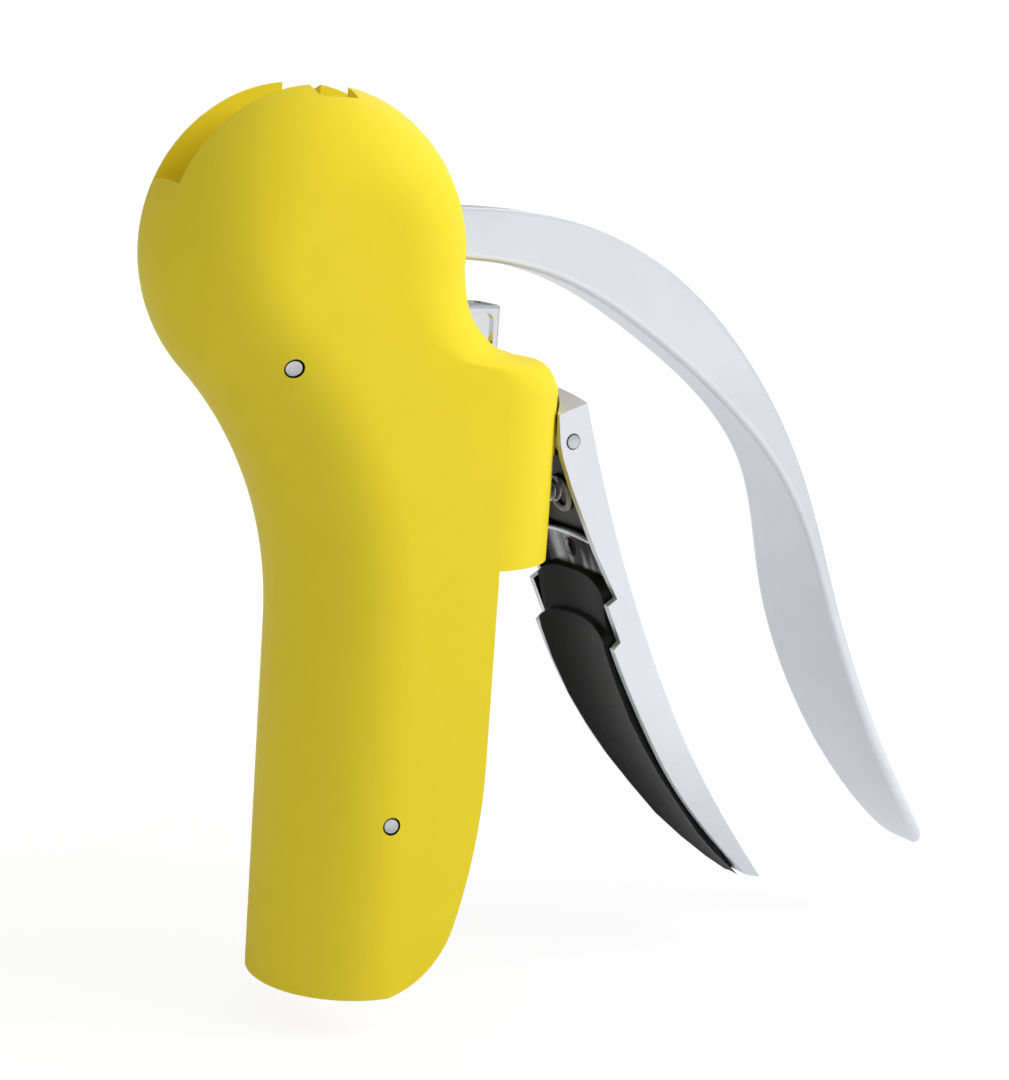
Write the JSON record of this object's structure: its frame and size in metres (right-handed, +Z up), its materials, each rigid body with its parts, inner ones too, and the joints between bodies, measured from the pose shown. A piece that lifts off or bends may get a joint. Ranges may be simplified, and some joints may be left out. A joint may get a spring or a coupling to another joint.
{
  "type": "lever corkscrew",
  "caption": "Hand-held lever corkscrew: a round-headed body with a geared lever that drives a worm through a guide, and a spring-opened grip that holds the bottle's neck.",
  "frame": {"origin": "on the worm's axis, in the plane of the collar's lower rim, which is the mouth for the bottle's lip", "axes": "+Z up along the worm's axis, +X towards the lever's paddle and the grip, Y across the body, which is symmetric about Y = 0"},
  "size_m": [0.198, 0.039, 0.1724],
  "materials": {
    "body_plastic": "soft-touch matt yellow",
    "satin_metal": "satin silver, pearl lacquer",
    "chrome": "polished chrome plate",
    "steel": "turned steel",
    "black_rubber": "satin black",
    "nylon": "light grey, natural"
  },
  "bodies": {
    "body": {"near_shell": "body_plastic", "far_shell": "body_plastic", "neck_liner": "black_rubber", "upper_body_pin": "steel", "lower_body_pin": "steel", "lever_axle": "steel", "worm_guide": "nylon", "worm_guide_pins": "steel", "grip_pin": "steel", "near_grip_washer": "nylon", "far_grip_washer": "nylon", "grip_spring": "steel"},
    "lever": {"lever": "satin_metal", "near_lever_bush": "nylon", "far_lever_bush": "nylon"},
    "carriage": {"rack_carriage": "chrome", "carriage_cap": "chrome", "worm_washer": "nylon"},
    "worm": {"worm": "steel", "worm_clip": "steel"},
    "grip": {"grip_lever": "satin_metal", "grip_pad": "black_rubber", "pad_carrier": "steel", "pad_rivet": "steel", "spring_seat": "nylon"}
  },
  "joints": [
    {"name": "lever_hinge", "type": "hinge", "parent": "body", "child": "lever", "pos_m": [-0.0353, 0, 0.0582], "axis": [0, -1, 0], "range_deg": [0, 138]},
    {"name": "carriage_slide", "type": "slide", "parent": "body", "child": "carriage", "axis": [0, 0, 1], "range_m": [0, 0.04345]},
    {"name": "worm_spin", "type": "hinge", "parent": "carriage", "child": "worm", "pos_m": [0, 0, 0], "axis": [0, 0, 1], "range_deg": [0, 1740]},
    {"name": "grip_hinge", "type": "hinge", "parent": "body", "child": "grip", "pos_m": [0.0182, 0, 0.0239], "axis": [0, 1, 0], "range_deg": [0, 18.5], "stiffness_Nm_per_rad": 0.4, "springref_deg": -11.46, "deforming": ["grip_spring"]}
  ],
  "couplings": [
    {"joint": "carriage_slide", "follows": "lever_hinge", "m_per_rad": 0.018},
    {"joint": "worm_spin", "follows": "lever_hinge", "ratio": 12.566}
  ]
}
